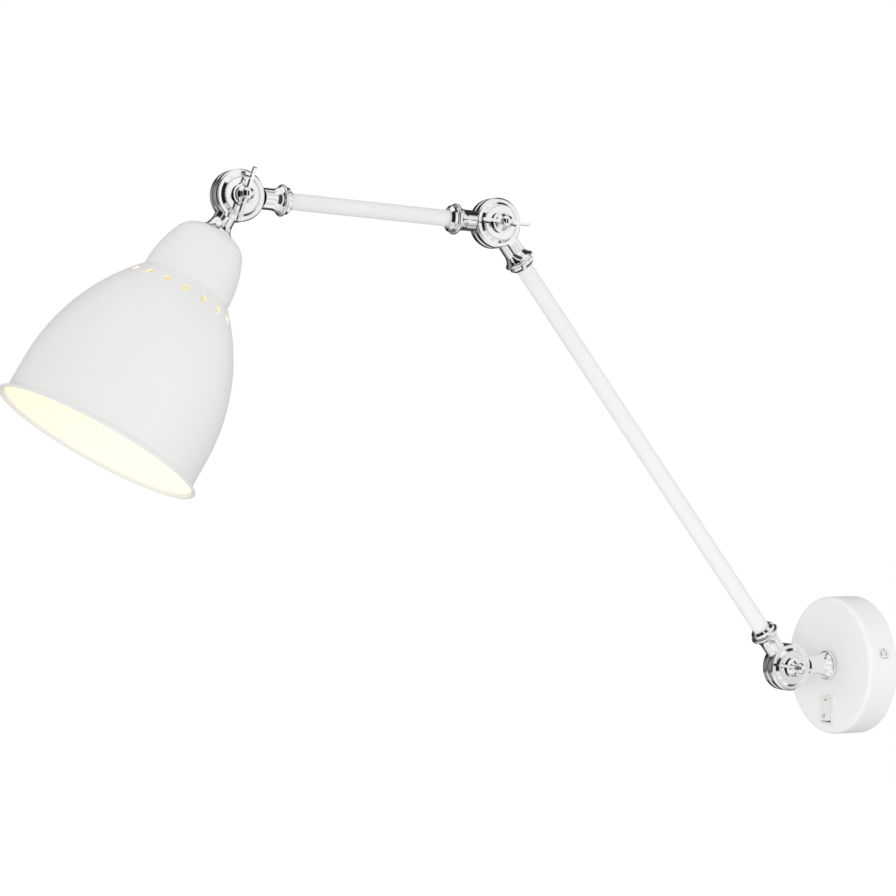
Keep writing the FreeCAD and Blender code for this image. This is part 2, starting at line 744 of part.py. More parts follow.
def knuckle(label, side, stem, frame):
    body = new_body(label)
    revolve(body, "XZ_Plane", "V_Axis", stem)
    cut_radius = "disc_radius + rim_clearance"
    reach = "ring_radius + overrun"
    other_side = circle(new_sketch(body, "YZ_Plane"), cut_radius)
    feature(body, "Pocket", other_side, reach, reverse=side < 0)
    sign = "" if side > 0 else "-"
    beyond_face = circle(new_sketch(body, "YZ_Plane", f"{sign}{DISC_FACE}"), cut_radius)
    feature(body, "Pocket", beyond_face, reach, reverse=side > 0)
    revolve(body, "XY_Plane", "H_Axis", disc_outline(side, "bolt_radius + bolt_play"))
    cores = circle(new_sketch(body, "XY_Plane", "(hub_radius + chamber_radius) / 2"), "core_hole_radius",
                   f"{sign}({HALF_GAP} + core_hole_offset)")
    feature(body, "Pocket", cores, "lead_bore_start - hub_radius", reverse=True)
    if side < 0:
        half = "(bolt_neck_half + bolt_neck_play)"
        square = rectangle(new_sketch(body, "YZ_Plane", f"-{SEAT_FACE}"),
                           f"-{half}", half, f"-{half}", half)
        feature(body, "Pocket", square, "bolt_neck_length + bolt_neck_play", reverse=True)
    place(body, frame)
    return keep(body, label)


def bolt(label, frame):
    body = new_body(label)
    height = "bolt_head_height - bolt_head_edge"
    dome = f"((bolt_head_radius^2 + ({height})^2) / (2 * ({height})))"
    revolve(body, "XY_Plane", "H_Axis", [
        (f"-({SEAT_FACE} + bolt_head_height)", "0", dome, -1),
        (f"-({SEAT_FACE} + bolt_head_edge)", "bolt_head_radius"), (f"-{SEAT_FACE}", "bolt_head_radius"),
        (f"-{SEAT_FACE}", "bolt_radius"), ("bolt_reach", "bolt_radius"), ("bolt_reach", "0")])
    neck = rectangle(new_sketch(body, "YZ_Plane", f"-{SEAT_FACE}"),
                     "-bolt_neck_half", "bolt_neck_half", "-bolt_neck_half", "bolt_neck_half")
    feature(body, "Pad", neck, "bolt_neck_length")
    place(body, frame)
    return keep(body, label)


def spring_washer(label, frame):
    body = new_body(label)
    start = f"{SEAT_FACE} + slip"
    sketch = circle(new_sketch(body, "YZ_Plane", start), "spring_washer_radius")
    circle(sketch, "bolt_radius + bolt_play")
    feature(body, "Pad", sketch, "spring_washer_thick")
    slit = rectangle(new_sketch(body, "YZ_Plane", start), "-spring_washer_slit / 2",
                     "spring_washer_slit / 2", "0", "spring_washer_radius + overrun")
    feature(body, "Pocket", slit, "spring_washer_thick + overrun", reverse=True)
    place(body, frame)
    return keep(body, label)


def wing_nut(label, frame):
    body = new_body(label)
    base = f"({SEAT_FACE} + 2 * slip + spring_washer_thick)"
    ball = f"({DISC_FACE} + ball_reach)"
    neck_end = f"({ball} - sqrt(ball_radius^2 - nut_neck_radius^2))"
    cone_start = f"({base} + nut_base_thick)"
    cone_end = f"({base} + nut_cone_length)"
    cone = rise_radius(f"{cone_end} - {cone_start}", "nut_base_radius - nut_neck_radius")
    revolve(body, "XY_Plane", "H_Axis", [
        (base, "0"), (base, "nut_base_radius"), (cone_start, "nut_base_radius", cone, 1),
        (cone_end, "nut_neck_radius"), (neck_end, "nut_neck_radius", "ball_radius", -1),
        (ball, "ball_radius", "ball_radius", -1), (f"{ball} + ball_radius", "0")])
    wing = f"({ball} - wing_back)"
    flat = "(wing_span - wing_tip_half)"
    tip = "wing_tip_half"
    wings = outline(new_sketch(body, "XZ_Plane"), [
        (f"{wing} - {tip}", f"-{flat}", tip, 1), (wing, "-wing_span", tip, 1),
        (f"{wing} + {tip}", f"-{flat}"), (f"{wing} + wing_root_half", "0"),
        (f"{wing} + {tip}", flat, tip, 1), (wing, "wing_span", tip, 1),
        (f"{wing} - {tip}", flat), (f"{wing} - wing_root_half", "0")])
    feature(body, "Pad", wings, "wing_thick", both=True)
    thread = circle(new_sketch(body, "YZ_Plane", base), "bolt_radius + nut_thread_play")
    feature(body, "Pocket", thread, f"bolt_reach + nut_bore_spare - {base}", reverse=True)
    place(body, frame)
    return keep(body, label)


def joint_hardware(name, bolt_frame, wing_frame):
    bolt(f"{name}_pivot_bolt", bolt_frame)
    ring(f"{name}_friction_washer", bolt_frame, "YZ_Plane", "hub_radius",
         "bolt_radius + friction_washer_play", f"-{HALF_GAP}", "friction_washer_thick")
    spring_washer(f"{name}_spring_washer", bolt_frame)
    wing_nut(f"{name}_wing_nut", wing_frame)


# Arms: a tube between two knuckles, with the lead inside it.

def arm(name, length, tube_radius):
    seat = "(ferrule_end - socket_depth)"
    ring(f"{name}_tube", name, "XY_Plane", tube_radius, f"{tube_radius} - tube_wall",
         seat, f"{length} - 2 * {seat}")
    ring(f"{name}_lead", name, "XY_Plane", "lead_radius", None, "lead_start", f"{length} - 2 * lead_start")


# Swivel: the boss's foot lies on the cup, and a nipple and nut clamp it from inside.

def build_swivel():
    cup_face = "(boss_length + slip + swivel_washer_thick)"
    inner_face = f"({cup_face} + cup_wall)"
    spring_start = f"({inner_face} + slip)"
    nut_start = f"({spring_start} + swivel_spring_thick + fit)"
    nipple_start = "(boss_length - nipple_seat)"
    boss = knuckle("boss_knuckle", -1, footed_stem("boss_flare_start", "boss_foot_start", "boss_length"),
                   "boss")
    pin_hole = circle(new_sketch(boss, "XY_Plane", "boss_length"), "stop_pin_radius + fit",
                      "0", "-stop_pin_orbit")
    feature(boss, "Pocket", pin_hole, "stop_pin_seat")
    pin = new_body("StopPin")
    end = circle(new_sketch(pin, "XY_Plane", "boss_length - stop_pin_seat + fit"), "stop_pin_radius",
                 "0", "-stop_pin_orbit")
    feature(pin, "Pad", end, "stop_pin_seat + stop_pin_reach")
    place(pin, "boss")
    keep(pin, "swivel_stop_pin")
    ring("swivel_slide_washer", "boss", "XY_Plane", "swivel_washer_radius",
         "nipple_radius + nipple_hole_play", "boss_length + slip", "swivel_washer_thick")
    ring("swivel_nipple", "boss", "XY_Plane", "nipple_radius", "nipple_bore", nipple_start,
         f"{nut_start} + nut_thick + nipple_tail - {nipple_start}")
    ring("swivel_spring_washer", "boss", "XY_Plane", "swivel_spring_radius",
         "nipple_radius + nipple_hole_play", spring_start, "swivel_spring_thick")
    hex_nut("swivel_nut", "boss", nut_start)


# Head: the shade hangs from its knuckle by a nipple, which also carries the lampholder.

SEAT = "head_length"
ROOF = f"({SEAT} + shade_wall)"
NUT_END = f"({ROOF} + nut_thick)"
CAP_TOP = f"({NUT_END} + holder_gap)"
HOLDER_TOP = f"({CAP_TOP} + cap_length - holder_lap)"
FLOOR = f"({CAP_TOP} + cap_length + holder_gap)"
SLEEVE_SEAT = f"({FLOOR} + holder_floor)"
HOLDER_END = f"({HOLDER_TOP} + holder_length)"
CONTACT_END = f"({SLEEVE_SEAT} + contact_head_thick)"
BULB_START = f"({CONTACT_END} + holder_gap)"
BULB_CAP_END = f"({BULB_START} + bulb_cap_length)"
NECK_END = f"({SEAT} + neck_length)"
BELL_START = f"({NECK_END} + neck_straight)"


def shade_outline():
    """Half section of the shade: radius, and distance from the pivot along the shade's axis."""
    wall = "shade_wall"
    shoulder = ("shoulder_radius", f"{SEAT} + shoulder_drop")
    centre = ("(neck_radius - neck_curve)", NECK_END)
    inner_shoulder = [f"{place} - {wall} * ({place} - {middle}) / neck_curve"
                      for place, middle in zip(shoulder, centre)]
    bell_centre = "(bell_radius - bell_curve)"
    bell_end = f"({BELL_START} + sqrt(bell_curve^2 - (neck_radius - {bell_centre})^2))"
    inner_crease = f"{bell_end} - sqrt((bell_curve - {wall})^2 - (neck_radius - {wall} - {bell_centre})^2)"
    flare_start = f"({bell_end} + bell_straight)"
    angle = degrees("lip_flare_angle")
    flare_centre = "(bell_radius + lip_flare_curve)"
    reach = f"(lip_bead_radius + sqrt(lip_bead_radius^2 - ({wall} / 2)^2))"

    def flare(radius, beyond="0"):
        return (f"{flare_centre} - ({radius}) * cos{angle} + {beyond} * sin{angle}",
                f"{flare_start} + ({radius}) * sin{angle} + {beyond} * cos{angle}")
    outer_end = flare("lip_flare_curve")
    inner_end = flare(f"lip_flare_curve + {wall}")
    bead = flare(f"lip_flare_curve + {wall} / 2", reach)
    hole = "nipple_radius + nipple_hole_play"
    return [
        (hole, SEAT), ("shade_seat_radius", SEAT, "shoulder_round", 1), (*shoulder, "neck_curve", 1),
        ("neck_radius", NECK_END), ("neck_radius", BELL_START, "bell_curve", 1),
        ("bell_radius", bell_end), ("bell_radius", flare_start, "lip_flare_curve", -1),
        (*outer_end, "lip_bead_radius", 1), (*bead, "lip_bead_radius", 1),
        (*inner_end, f"lip_flare_curve + {wall}", 1), (f"bell_radius - {wall}", flare_start),
        (f"bell_radius - {wall}", bell_end, f"bell_curve - {wall}", -1),
        (f"neck_radius - {wall}", inner_crease),
        (f"neck_radius - {wall}", NECK_END, f"neck_curve - {wall}", -1),
        (*inner_shoulder, f"shoulder_round - {wall}", -1), ("shade_seat_radius", f"{SEAT} + {wall}"),
        (hole, f"{SEAT} + {wall}")]


def build_shade():
    body = new_body("Shade")
    revolve(body, "XZ_Plane", "V_Axis", shade_outline())
    vent = circle(new_sketch(body, "XZ_Plane"), "vent_radius", "0", f"{BELL_START} + vent_below_neck")
    pocket = feature(body, "Pocket", vent, "bell_radius + overrun")
    vents = body.newObject("PartDesign::PolarPattern", "ShadeVents")
    vents.Originals = [pocket]
    vents.Axis = (next(item for item in body.Origin.OriginFeatures if item.Role == "Z_Axis"), [""])
    vents.Angle = 360
    vents.Occurrences = VENT_COUNT
    body.Tip = vents
    doc.recompute()
    place(body, "head", "vent_turn")
    keep(body, "shade")


def build_lampholder():
    ring("shade_nipple", "head", "XY_Plane", "nipple_radius", "nipple_bore", f"{SEAT} - nipple_seat",
         f"{CAP_TOP} + cap_roof - {SEAT} + nipple_seat")
    hex_nut("shade_nut", "head", ROOF)
    thread = "nipple_radius + fit"
    turned_piece("lampholder_cap", "head", [
        (thread, CAP_TOP), ("cap_top_radius", CAP_TOP, "cap_curve", 1),
        ("cap_radius", f"{CAP_TOP} + cap_shoulder"), ("cap_radius", f"{CAP_TOP} + cap_length"),
        ("cap_radius - cap_wall", f"{CAP_TOP} + cap_length"),
        ("cap_radius - cap_wall", f"{CAP_TOP} + cap_shoulder"),
        ("cap_top_radius", f"{CAP_TOP} + cap_roof"), (thread, f"{CAP_TOP} + cap_roof")])
    turned_piece("lampholder_body", "head", [
        ("cap_radius + fit", HOLDER_TOP), ("holder_radius", HOLDER_TOP),
        ("holder_radius", f"{HOLDER_END} - holder_round", "holder_round", 1),
        ("holder_radius - holder_round", HOLDER_END), ("holder_radius - holder_wall", HOLDER_END),
        ("holder_radius - holder_wall", SLEEVE_SEAT), ("holder_hole", SLEEVE_SEAT),
        ("holder_hole", FLOOR), ("cap_radius + fit", FLOOR)])
    turned_piece("lampholder_sleeve", "head", [
        ("sleeve_hole", SLEEVE_SEAT), ("sleeve_radius", SLEEVE_SEAT),
        ("sleeve_radius", f"{SLEEVE_SEAT} + sleeve_length"),
        ("sleeve_radius - sleeve_wall", f"{SLEEVE_SEAT} + sleeve_length"),
        ("sleeve_radius - sleeve_wall", f"{SLEEVE_SEAT} + sleeve_wall"),
        ("sleeve_hole", f"{SLEEVE_SEAT} + sleeve_wall")])
    turned_piece("lampholder_contact", "head", [
        ("0", FLOOR), ("holder_hole - fit", FLOOR), ("holder_hole - fit", SLEEVE_SEAT),
        ("contact_head_radius", SLEEVE_SEAT), ("contact_head_radius", CONTACT_END), ("0", CONTACT_END)])
    turned_piece("bulb_cap", "head", [
        ("0", BULB_START), ("bulb_tip_radius", BULB_START),
        ("bulb_tip_radius", f"{BULB_START} + bulb_tip_thick"),
        ("bulb_cap_radius", f"{BULB_START} + bulb_cap_taper"), ("bulb_cap_radius", BULB_CAP_END),
        ("0", BULB_CAP_END)])
    glass_end = f"({BULB_CAP_END} + glass_length)"
    glass_centre = f"({glass_end} - glass_radius)"
    shoulder = f"{glass_centre} - sqrt(glass_radius^2 - glass_shoulder_radius^2)"
    neck_end = f"{BULB_CAP_END} + glass_neck_length"
    inner_shoulder = f"(glass_shoulder_radius * (glass_radius - glass_wall) / glass_radius)"
    inner_drop = f"({glass_centre} - sqrt(glass_radius^2 - glass_shoulder_radius^2) " \
                 f"* (glass_radius - glass_wall) / glass_radius)"
    turned_piece("bulb_glass", "head", [
        ("glass_neck_radius - glass_wall", BULB_CAP_END), ("glass_neck_radius", BULB_CAP_END),
        ("glass_neck_radius", neck_end, "glass_neck_curve", -1),
        ("glass_shoulder_radius", shoulder, "glass_radius", 1),
        ("glass_radius", glass_centre, "glass_radius", 1), ("0", glass_end),
        ("0", f"{glass_end} - glass_wall", "glass_radius - glass_wall", -1),
        ("glass_radius - glass_wall", glass_centre, "glass_radius - glass_wall", -1),
        (inner_shoulder, inner_drop, "glass_neck_curve + glass_wall", 1),
        ("glass_neck_radius - glass_wall", neck_end)])


build_bracket()
build_cup()
build_side_screws()
build_switch()
build_terminal_block()
build_swivel()
knuckle("lower_arm_knuckle", 1, arm_stem("lower_tube_radius"), "lower_arm")
arm("lower_arm", "lower_length", "lower_tube_radius")
knuckle("lower_elbow_knuckle", 1, arm_stem("lower_tube_radius"), "lower_arm_end")
knuckle("upper_elbow_knuckle", -1, arm_stem("upper_tube_radius"), "upper_arm")
arm("upper_arm", "upper_length", "upper_tube_radius")
knuckle("upper_head_knuckle", -1, arm_stem("upper_tube_radius"), "upper_arm_end")
knuckle("shade_knuckle", 1, footed_stem("head_flare_start", "head_foot_start", "head_length"), "head")
joint_hardware("shoulder", "boss", "shoulder_wings")
joint_hardware("elbow", "upper_arm", "elbow_wings")
joint_hardware("head", "upper_arm_end", "head_wings")
build_shade()
build_lampholder()
doc.recompute()

for item in doc.Objects:
    if {"Invalid", "Error"} & set(item.State):
        raise RuntimeError(f"{item.Label} ({item.Name}) did not build: {item.State}")
os.makedirs("parts", exist_ok=True)
for node in nodes:
    shape = node.Shape
    if shape.isNull() or not shape.isValid():
        raise RuntimeError(f"{node.Label} has no valid shape")
    shape.exportStep(f"parts/{node.Label}.step")
    box = shape.BoundBox
    print(f"{node.Label:24s} solids {len(shape.Solids)}  volume {shape.Volume:10.1f}  "
          f"x {box.XMin:7.1f} {box.XMax:7.1f}  y {box.YMin:7.1f} {box.YMax:7.1f}  "
          f"z {box.ZMin:7.1f} {box.ZMax:7.1f}")
for name, (y, z, turn) in FRAMES.items():
    print(f"{name:16s} y {number(y):8.2f}  z {number(z):8.2f}  turn {number(turn):7.2f}")
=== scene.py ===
import json
import math

import bmesh
import bpy
import numpy as np
from mathutils import Matrix, Vector


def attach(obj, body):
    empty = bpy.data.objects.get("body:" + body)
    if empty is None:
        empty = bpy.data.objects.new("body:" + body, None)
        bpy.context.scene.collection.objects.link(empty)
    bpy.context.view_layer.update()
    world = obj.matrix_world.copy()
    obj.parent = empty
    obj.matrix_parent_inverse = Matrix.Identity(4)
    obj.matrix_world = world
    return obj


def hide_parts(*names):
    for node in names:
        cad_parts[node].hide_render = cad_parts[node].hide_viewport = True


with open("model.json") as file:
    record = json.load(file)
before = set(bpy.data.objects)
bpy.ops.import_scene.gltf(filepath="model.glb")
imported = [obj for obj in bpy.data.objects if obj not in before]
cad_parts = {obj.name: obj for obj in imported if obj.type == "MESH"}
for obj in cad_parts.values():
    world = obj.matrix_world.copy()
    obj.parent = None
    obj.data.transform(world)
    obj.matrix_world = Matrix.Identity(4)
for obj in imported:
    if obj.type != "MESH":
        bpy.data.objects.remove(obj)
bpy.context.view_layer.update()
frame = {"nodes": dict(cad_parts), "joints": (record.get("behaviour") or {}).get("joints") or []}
nodes = frame["nodes"]
pivots = {joint["name"]: joint["pos_m"] for joint in frame["joints"]}
print("frame loaded,", len(nodes), "nodes")

black, white = (0.0, 0.0, 0.0, 1.0), (1.0, 1.0, 1.0, 1.0)


class Wire:  # a socket that takes part in sums, so that shader maths reads as written
    def __init__(self, sheet, socket):
        self.sheet = sheet
        self.socket = socket

    def maths(self, operation, *values):
        return self.sheet.add("ShaderNodeMath", {"operation": operation}, dict(enumerate(values)))

    def __add__(self, other): return self.maths("ADD", self, other)
    def __radd__(self, other): return self.maths("ADD", other, self)
    def __sub__(self, other): return self.maths("SUBTRACT", self, other)
    def __rsub__(self, other): return self.maths("SUBTRACT", other, self)
    def __mul__(self, other): return self.maths("MULTIPLY", self, other)
    def __rmul__(self, other): return self.maths("MULTIPLY", other, self)
    def __truediv__(self, other): return self.maths("DIVIDE", self, other)
    def __rtruediv__(self, other): return self.maths("DIVIDE", other, self)
    def __abs__(self): return self.maths("ABSOLUTE", self)
    def most(self, other): return self.maths("MAXIMUM", self, other)
    def least(self, other): return self.maths("MINIMUM", self, other)
    def root(self): return self.maths("SQRT", self)

    def ramp(self, low, high, start=0.0, end=1.0):  # eased step from start to end between low and high
        return self.sheet.add("ShaderNodeMapRange", {"interpolation_type": "SMOOTHSTEP"},
                              {"Value": self, "From Min": low, "From Max": high,
                               "To Min": start, "To Max": end})


class NodeSheet:  # the nodes of one material or of the world
    def __init__(self, tree):
        self.tree = tree
        tree.nodes.clear()

    def add(self, kind, settings=None, values=None, result=0):
        node = self.tree.nodes.new(kind)
        for name, value in (settings or {}).items():
            setattr(node, name, value)
        for socket, value in (values or {}).items():
            if isinstance(value, Wire):
                self.tree.links.new(value.socket, node.inputs[socket])
            else:
                node.inputs[socket].default_value = value
        return Wire(self, node.outputs[result])

    def noise(self, place, size, detail=2.0, roughness=0.5):  # size of one grain in metres
        return self.add("ShaderNodeTexNoise", {"noise_dimensions": "3D"},
                        {"Vector": place, "Scale": 1.0 / size, "Detail": detail,
                         "Roughness": roughness})

    def stretch(self, place, scale):
        return self.add("ShaderNodeMapping", None, {"Vector": place, "Scale": scale})

    def mix(self, factor, first, second):  # colours
        return self.add("ShaderNodeMix", {"data_type": "RGBA"}, {0: factor, 6: first, 7: second}, 2)

    def bump(self, height, depth, strength):
        return self.add("ShaderNodeBump", None,
                        {"Height": height, "Distance": depth, "Strength": strength})

    def parts(self, vector):  # x, y and z of a vector
        split = self.add("ShaderNodeSeparateXYZ", None, {"Vector": vector}).socket.node
        return [Wire(self, split.outputs[index]) for index in range(3)]


class Finish(NodeSheet):  # one material with its principled shader
    def __init__(self, name, constants):
        self.material = bpy.data.materials.new(name)
        self.material.use_nodes = True
        super().__init__(self.material.node_tree)
        self.shader = self.add("ShaderNodeBsdfPrincipled", None, constants).socket.node
        output = self.tree.nodes.new("ShaderNodeOutputMaterial")
        self.tree.links.new(self.shader.outputs[0], output.inputs["Surface"])
        self.place = Wire(self, self.tree.nodes.new("ShaderNodeTexCoord").outputs["Object"])
        self.facing = Wire(self, self.place.socket.node.outputs["Normal"])

    def feed(self, **sockets):  # baseColor=..., roughness=..., emission=..., normal=...
        names = {"baseColor": "Base Color", "roughness": "Roughness",
                 "emission": "Emission Color", "normal": "Normal"}
        for name, wire in sockets.items():
            self.tree.links.new(wire.socket, self.shader.inputs[names[name]])
        return self.material


def rgba(colour, shade=1.0):
    return (*[channel * shade for channel in colour], 1.0)


headAxis = {"tilt": 30.2, "pivot": pivots["shade_tilts"]}  # the shade's axis leans out from straight down
leanSin = math.sin(math.radians(headAxis["tilt"]))
leanCos = math.cos(math.radians(headAxis["tilt"]))


def headPlaces(finish):  # x, place across the axis, place along it and radius, in metres
    x, y, z = finish.parts(finish.place)
    y = y - headAxis["pivot"][1]
    z = z - headAxis["pivot"][2]
    along = y * -leanSin + z * -leanCos
    sideways = y * -leanCos + z * leanSin
    return x, sideways, along, (x * x + sideways * sideways).root()


enamelLook = {
    "colour": (0.885, 0.885, 0.88), "roughness": 0.46, "shine": 0.35,
    "peelSize": 0.0011, "peelDetail": 2.5, "peelDepth": 0.000006, "peelStrength": 0.6, "peelRough": 0.05,
    "cloudSize": 0.035, "cloudTones": (0.985, 1.01), "cloudRough": 0.10,
    "speckSize": 0.0006, "speckFrom": (0.72, 0.80), "speckColour": (0.62, 0.61, 0.58),
    "speckShare": 0.15, "speckHeight": 0.4,
}


def enamelSurface(finish):  # stove enamel: fine orange peel, faint clouds and dust specks
    look = enamelLook
    dark, pale = look["cloudTones"]
    peel = finish.noise(finish.place, look["peelSize"], look["peelDetail"])
    cloud = finish.noise(finish.place, look["cloudSize"], 3.0)
    speck = finish.noise(finish.place, look["speckSize"], 1.0).ramp(*look["speckFrom"])
    colour = finish.mix(cloud, rgba(look["colour"], dark), rgba(look["colour"], pale))
    colour = finish.mix(speck * look["speckShare"], colour, rgba(look["speckColour"]))
    rough = look["roughness"] + (cloud - 0.5) * look["cloudRough"] + (peel - 0.5) * look["peelRough"]
    return colour, rough, finish.bump(peel + speck * look["speckHeight"], look["peelDepth"],
                                      look["peelStrength"])


def whiteEnamel():
    finish = Finish("whiteEnamel", {"Specular IOR Level": enamelLook["shine"]})
    colour, rough, normal = enamelSurface(finish)
    return finish.feed(baseColor=colour, roughness=rough, normal=normal)


# painted lamplight inside the shade: its emission colours and strength, a paler painted tint on one side,
# painted shade toward the neck and the mouth, and the painted light on the vent walls
shadeLook = {  # places along and across the shade's axis in metres from the head's pivot
    "glow": (1.0, 0.80, 0.26), "glowStrength": 0.31, "paleSide": (1.0, 0.88, 0.44),
    "paleReach": (-0.05, 0.06), "innerFacing": (-0.12, -0.30), "lipStart": 0.1840, "lipBlend": 0.0008,
    "neckReach": (0.075, 0.125), "neckTone": 0.55, "mouthReach": (0.130, 0.190), "mouthTone": 0.88,
    "ventPlace": 0.0794, "ventReach": (0.0030, 0.0022), "ventFacing": (0.80, 0.55),
}


def shadeEnamel():
    # enamel, with painted warm lamplight (an emission) on the faces that look at the axis and on the walls
    # of the vents; painted shade dims it toward the neck and the mouth, and it is paler on one side
    look = shadeLook
    finish = Finish("shadeEnamel", {"Specular IOR Level": enamelLook["shine"],
                                    "Emission Strength": look["glowStrength"]})
    colour, rough, normal = enamelSurface(finish)
    x, sideways, along, radius = headPlaces(finish)
    faceX, faceY, faceZ = finish.parts(finish.facing)
    faceSideways = faceY * -leanCos + faceZ * leanSin
    outward = (faceX * x + faceSideways * sideways) / radius
    inside = outward.ramp(*look["innerFacing"]) \
        * along.ramp(look["lipStart"] + look["lipBlend"], look["lipStart"] - look["lipBlend"])
    # painted shade: the painted lamplight is dimmer toward the neck and toward the mouth
    paintedGlowFalloff = along.ramp(*look["neckReach"], look["neckTone"], 1.0) \
        * along.ramp(*look["mouthReach"], 1.0, look["mouthTone"])
    # painted lamplight on the walls of the vents
    vent = abs(along - look["ventPlace"]).ramp(*look["ventReach"]) \
        * abs(outward).ramp(*look["ventFacing"])
    # colour of the painted lamplight, paler toward one side of the shade
    lit = finish.mix(sideways.ramp(*look["paleReach"]), rgba(look["paleSide"]), rgba(look["glow"]))
    warm = finish.mix(paintedGlowFalloff, black, lit)
    glow = finish.mix((inside + vent).least(1.0), black, warm)
    return finish.feed(baseColor=colour, roughness=rough, normal=normal, emission=glow)


chromeLook = {
    "colour": (0.93, 0.935, 0.94), "tones": (0.95, 1.03), "roughness": 0.06,
    "waveSize": 0.0060, "waveDepth": 0.000014, "waveStrength": 0.8, "hazeSize": 0.012, "hazeRough": 0.03,
    "hairSize": 0.004, "hairStretch": (1.0, 14.0, 1.6), "hairFrom": (0.60, 0.72), "hairRough": 0.05,
    "hairHeight": 0.01,
}


def chrome():  # polished plate over a casting: slow waves under the shine, faint haze and hairlines
    look = chromeLook
    finish = Finish("chromePlate", {"Metallic": 1.0})
    dark, pale = look["tones"]
    wave = finish.noise(finish.place, look["waveSize"], 1.5)
    haze = finish.noise(finish.place, look["hazeSize"], 4.0, 0.6)
    drawn = finish.stretch(finish.place, look["hairStretch"])
    hair = finish.noise(drawn, look["hairSize"], 3.0, 0.7).ramp(*look["hairFrom"])
    colour = finish.mix(haze, rgba(look["colour"], dark), rgba(look["colour"], pale))
    rough = look["roughness"] + haze * look["hazeRough"] + hair * look["hairRough"]
    normal = finish.bump(wave + hair * look["hairHeight"], look["waveDepth"], look["waveStrength"])
    return finish.feed(baseColor=colour, roughness=rough, normal=normal)


metalGrain = {"size": 0.004, "stretch": (1.0, 12.0, 12.0), "rough": 0.16, "strength": 0.7,
              "cloudSize": 0.009, "cloudRough": 0.12}
metalLooks = {
    "zinc": {"name": "zincPlate", "colour": (0.66, 0.67, 0.70), "dark": (0.50, 0.51, 0.55),
             "roughness": 0.36, "grainDepth": 0.00002},
    "brass": {"name": "bareBrass", "colour": (0.80, 0.62, 0.30), "dark": (0.62, 0.44, 0.19),
              "roughness": 0.30, "grainDepth": 0.00001},
    "thread": {"name": "rolledCap", "colour": (0.78, 0.79, 0.80), "dark": (0.62, 0.62, 0.63),
               "roughness": 0.28, "grainDepth": 0.00001},
}


def plainMetal(look):  # bare or zinc-plated metal with a grain drawn along x
    finish = Finish(look["name"], {"Metallic": 1.0})
    cloud = finish.noise(finish.place, metalGrain["cloudSize"], 4.0, 0.6)
    grain = finish.noise(finish.stretch(finish.place, metalGrain["stretch"]), metalGrain["size"], 3.0, 0.65)
    colour = finish.mix(cloud, rgba(look["dark"]), rgba(look["colour"]))
    rough = look["roughness"] + (grain - 0.5) * metalGrain["rough"] \
        + (cloud - 0.5) * metalGrain["cloudRough"]
    return finish.feed(baseColor=colour, roughness=rough,
                       normal=finish.bump(grain, look["grainDepth"], metalGrain["strength"]))


mouldFlow = {"size": 0.012, "tones": (0.97, 1.01), "rough": 0.06, "grainRough": 0.12,
             "grainStrength": 0.6, "coatRoughness": 0.12}
mouldedLooks = {
    "switch": {"name": "switchPlastic", "colour": (0.86, 0.855, 0.835), "roughness": 0.24,
               "shine": 0.5, "coat": 0.15, "grainSize": 0.0012, "grainDepth": 0.000006},
    "holder": {"name": "holderThermoset", "colour": (0.84, 0.83, 0.79), "roughness": 0.42,
               "shine": 0.5, "coat": 0.0, "grainSize": 0.0009, "grainDepth": 0.00001},
    "fibre": {"name": "vulcanFibre", "colour": (0.26, 0.24, 0.21), "roughness": 0.82,
              "shine": 0.25, "coat": 0.0, "grainSize": 0.0005, "grainDepth": 0.00003},
    "sheath": {"name": "leadSheath", "colour": (0.87, 0.87, 0.85), "roughness": 0.50,
               "shine": 0.4, "coat": 0.0, "grainSize": 0.0020, "grainDepth": 0.00001},
    "mark": {"name": "switchMark", "colour": (0.16, 0.12, 0.11), "roughness": 0.55,
             "shine": 0.3, "coat": 0.0, "grainSize": 0.0004, "grainDepth": 0.000004},
}


def moulded(look):  # moulded plastic or thermoset: soft grain, slight flow clouds
    finish = Finish(look["name"], {"Specular IOR Level": look["shine"], "Coat Weight": look["coat"],
                                   "Coat Roughness": mouldFlow["coatRoughness"]})
    dark, pale = mouldFlow["tones"]
    grain = finish.noise(finish.place, look["grainSize"], 2.0)
    flow = finish.noise(finish.place, mouldFlow["size"], 3.0)
    colour = finish.mix(flow, rgba(look["colour"], dark), rgba(look["colour"], pale))
    rough = look["roughness"] + (grain - 0.5) * mouldFlow["grainRough"] + (flow - 0.5) * mouldFlow["rough"]
    return finish.feed(baseColor=colour, roughness=rough,
                       normal=finish.bump(grain, look["grainDepth"], mouldFlow["grainStrength"]))


bulbLook = {
    "colour": (0.96, 0.95, 0.92), "light": (1.0, 0.80, 0.40), "strength": 1.0, "roughness": 0.35,
    "neckReach": (0.078, 0.115), "neckTone": 0.45, "frostSize": 0.0008, "frostTone": 0.96,
    "frostRough": 0.1, "frostDepth": 0.00001, "frostStrength": 0.5,
}


def litGlass():  # frosted bulb: brightest round its middle, darker at the neck
    look = bulbLook
    finish = Finish("litOpalGlass", {"Emission Strength": look["strength"], "Specular IOR Level": 0.5})
    along = headPlaces(finish)[2]
    frost = finish.noise(finish.place, look["frostSize"], 2.0)
    colour = finish.mix(frost, rgba(look["colour"], look["frostTone"]), rgba(look["colour"]))
    light = finish.mix(along.ramp(*look["neckReach"]), rgba(look["light"], look["neckTone"]),
                       rgba(look["light"]))
    return finish.feed(baseColor=colour, roughness=look["roughness"] + (frost - 0.5) * look["frostRough"],
                       emission=light,
                       normal=finish.bump(frost, look["frostDepth"], look["frostStrength"]))


